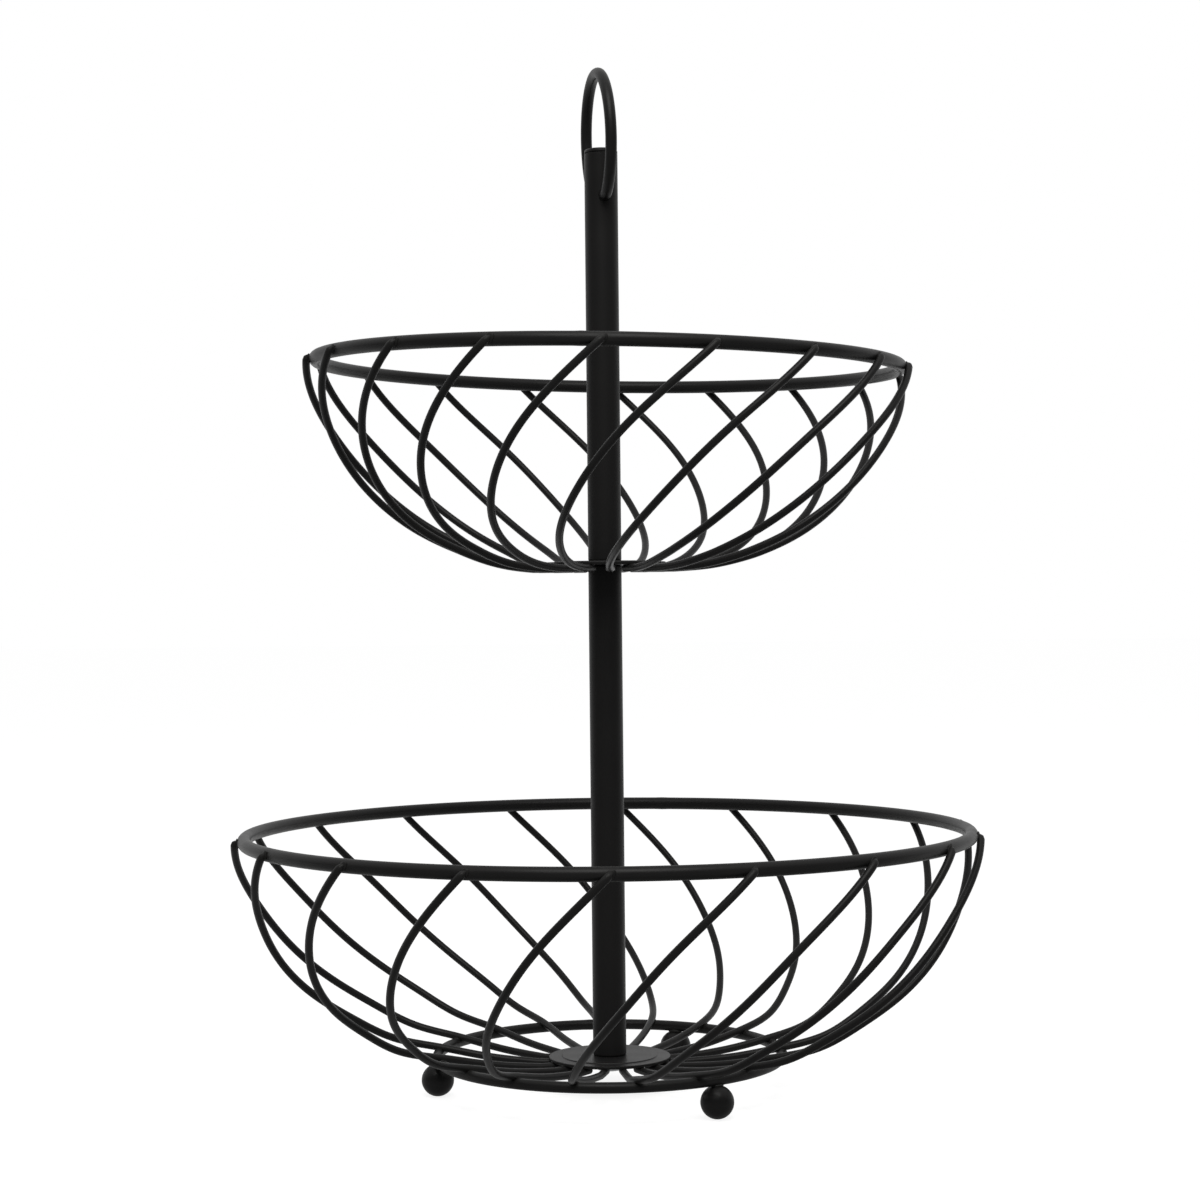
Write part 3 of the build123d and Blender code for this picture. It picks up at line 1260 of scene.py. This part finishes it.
@dataclass
class Studio:
    """A white cove, soft light and the camera."""

    camera_distance: float = 1.00628
    camera_height: float = 0.20061
    camera_pitch: float = -0.00267
    camera_yaw: float = -0.00210
    camera_roll: float = -0.01002
    camera_reach: float = 200.0
    focal_pixels: float = 2497.03
    image_pixels: float = 1200.0
    sensor: float = 36.0
    floor_side: float = 3.0
    floor_front: float = 1.3
    floor_back: float = 9.0
    floor_colour: Colour = (0.25, 0.25, 0.25, 1.0)
    seen_colour: Colour = (0.30, 0.30, 0.30, 1.0)
    seen_glow: float = 0.86
    sky_colour: Colour = (1.0, 1.0, 1.0, 1.0)
    world_level: float = 0.45
    light_level: float = 0.82
    dark_level: float = 0.15
    dark_rise: float = 1.2
    dark_from: float = -0.6
    dark_to: float = -0.1
    floor_dark_from: float = -0.22
    floor_dark_to: float = 0.2
    lamp_colour: Triple = (1.0, 0.99, 0.965)
    lamp_place: Triple = (0.0, -0.8, 1.2)
    lamp_aim: Triple = (0.0, 0.0, 0.2)
    lamp_side: float = 0.85
    lamp_watts: float = 12.5

    def build(self) -> None:
        """Sets up the camera, the floor, the world and the lamp."""
        self.camera()
        self.floor()
        self.world()
        self.softbox()

    def camera(self) -> None:
        """Places the camera where the photograph was taken from."""
        yaw, pitch, roll = self.camera_yaw, self.camera_pitch, self.camera_roll
        ahead = Vector((sin(yaw) * cos(pitch), cos(yaw) * cos(pitch), sin(pitch)))
        level = Vector((cos(yaw), -sin(yaw), 0))
        upright = level.cross(ahead)
        right = level * cos(roll) + upright * sin(roll)
        up = upright * cos(roll) - level * sin(roll)
        lens = bpy.data.cameras.new("camera")
        lens.sensor_width = self.sensor
        lens.lens = self.sensor * self.focal_pixels / self.image_pixels
        lens.clip_end = self.camera_reach
        camera = new_piece("camera", lens)
        place = (0, -self.camera_distance, self.camera_height)
        turn = Matrix((right, up, -ahead)).transposed().to_4x4()
        camera.matrix_world = Matrix.Translation(place) @ turn
        bpy.context.scene.camera = camera

    def floor(self) -> None:
        """A pale floor that reads as white paper and keeps the object's shadow."""
        side, front, back = self.floor_side, -self.floor_front, self.floor_back
        corners = [(-side, front, 0), (side, front, 0), (side, back, 0), (-side, back, 0)]
        mesh = bpy.data.meshes.new("floor")
        mesh.from_pydata(corners, [], [(0, 1, 2, 3)])
        floor = new_piece("floor", mesh)
        tree = MaterialTree("white_paper")
        place = tree.node("ShaderNodeNewGeometry")["Position"]
        ahead = 0.0 - tree.node("ShaderNodeSeparateXYZ", {}, {"Vector": place})["Y"]
        shade = self.fade(tree, ahead, self.floor_dark_from, self.floor_dark_to)
        ray = tree.node("ShaderNodeLightPath")
        gloss = ray["Is Glossy Ray"]
        strength = (1.0 - gloss * (1.0 - shade)) * self.seen_glow
        paper = {
            "Shader": tree.node("ShaderNodeBsdfDiffuse", {}, {"Color": self.seen_colour})["BSDF"],
            "Shader_001": tree.node("ShaderNodeEmission", {}, {"Strength": strength})["Emission"],
        }
        looks = {
            "Fac": (ray["Is Camera Ray"] + gloss + ray["Is Transmission Ray"]).at_most(1.0),
            "Shader": tree.node("ShaderNodeBsdfDiffuse", {}, {"Color": self.floor_colour})["BSDF"],
            "Shader_001": tree.node("ShaderNodeAddShader", {}, paper)["Shader"],
        }
        tree.end(tree.node("ShaderNodeMixShader", {}, looks)["Shader"])
        mesh.materials.append(tree.material)

    def fade(self, graph: Graph, ahead: Shade, start: float, end: float) -> Shade:
        """How bright gloss shows the studio, which is dark in front where the photographer stands.

        Args:
            graph: The tree.
            ahead: How far in front a place or a direction is.
            start: Where it starts to darken.
            end: Where it is darkest.

        Returns:
            The level of its light.
        """
        spread = {"Value": ahead, "From Min": start, "From Max": end}
        spread.update({"To Min": self.light_level, "To Max": self.dark_level})
        smooth = {"interpolation_type": "SMOOTHSTEP"}
        return graph.node("ShaderNodeMapRange", smooth, spread)["Result"]

    def world(self) -> None:
        """White behind everything, and a soft level of light from all round."""
        world = bpy.data.worlds.new("cove")
        world.use_nodes = True
        bpy.context.scene.world = world
        graph = Graph(world.node_tree)
        way = graph.node("ShaderNodeTexCoord")["Generated"]
        split = graph.node("ShaderNodeSeparateXYZ", {}, {"Vector": way})
        ahead = 0.0 - split["Y"] - split["Z"].at_least(0.0) * self.dark_rise
        ray = graph.node("ShaderNodeLightPath")
        gloss = ray["Is Glossy Ray"] + ray["Is Transmission Ray"]
        camera = ray["Is Camera Ray"]
        seen = camera + gloss * self.fade(graph, ahead, self.dark_from, self.dark_to)
        strength = seen + (1.0 - camera - gloss) * self.world_level
        sky = {"Color": self.sky_colour, "Strength": strength}
        background = graph.node("ShaderNodeBackground", {}, sky)["Background"]
        graph.node("ShaderNodeOutputWorld", {}, {"Surface": background})

    def softbox(self) -> None:
        """Hangs one large soft lamp high in front, aimed at the object's middle."""
        light = bpy.data.lights.new("softbox", "AREA")
        light.size = self.lamp_side
        light.energy = self.lamp_watts
        light.color = self.lamp_colour
        lamp = new_piece("softbox", light)
        place = Vector(self.lamp_place)
        turn = (Vector(self.lamp_aim) - place).to_track_quat("-Z", "Y").to_matrix().to_4x4()
        lamp.matrix_world = Matrix.Translation(place) @ turn


# Sizes of the two bowls


LOWER_BOWL = Bowl(
    name="lower",
    rim_radius=145.2 * MM,
    rim_height=103.7 * MM,
    first_turn=-1.1,
    seat_height=11.675 * MM,
    side_bend=[
        (0.9451, 0.6597, -10.9),
        (0.8105, 0.4487, -17.0),
        (0.6275, 0.2739, -22.2),
        (0.4261, 0.1457, -26.3),
        (0.2353, 0.0513, -29.6),
    ],
    last_turn=-31.0,
    joint_turn=171.0,
    drift=Slide(2.5 * MM),
    crossing=(69.3 * MM, 17.6 * MM, -32.2),
    crossing_weld=16.75 * MM,
    middle_bend=[(0.525, 0.38, -32.4)],
)
UPPER_BOWL = Bowl(
    name="upper",
    rim_radius=117.0 * MM,
    rim_height=292.3 * MM,
    first_turn=-1.5,
    seat_height=210.575 * MM,
    side_bend=[
        (0.9324, 0.629, -15.0),
        (0.773, 0.385, -23.8),
        (0.5482, 0.1824, -31.0),
        (0.3433, 0.0775, -34.8),
        (0.144, 0.0165, -36.0),
    ],
    last_turn=-33.5,
    joint_turn=-4.7,
    drift=Lean(1.5, 70.0, 212.0 * MM, 29.0 * MM, 60.0 * MM),
)
INNER_FIXINGS = ("foot_insert", "lower_tube_insert", "upper_tube_insert", "joining_stud")


def main() -> None:
    """Builds the basket and its studio."""
    logging.basicConfig(level=logging.INFO, format="%(message)s")
    bpy.context.scene.view_settings.view_transform = "Standard"
    coat = PowderCoat().material()
    shop = Workshop(coat, PlatedSteel().material(), WireBender(coat))
    crossings = LOWER_BOWL.build(shop)
    UPPER_BOWL.build(shop)
    Base().build(shop, crossings)
    Column().build(shop)
    Handle().build(shop)
    beads = WeldLayer(coat).lay("weld_beads", shop.welds)
    shop.hand_over(beads, None)
    for name in INNER_FIXINGS:
        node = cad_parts[name]
        node.data.materials.clear()
        node.data.materials.append(shop.steel)
        log.info("%s: kept from the frame", name)
    Studio().build()


if __name__ == "__main__":
    main()
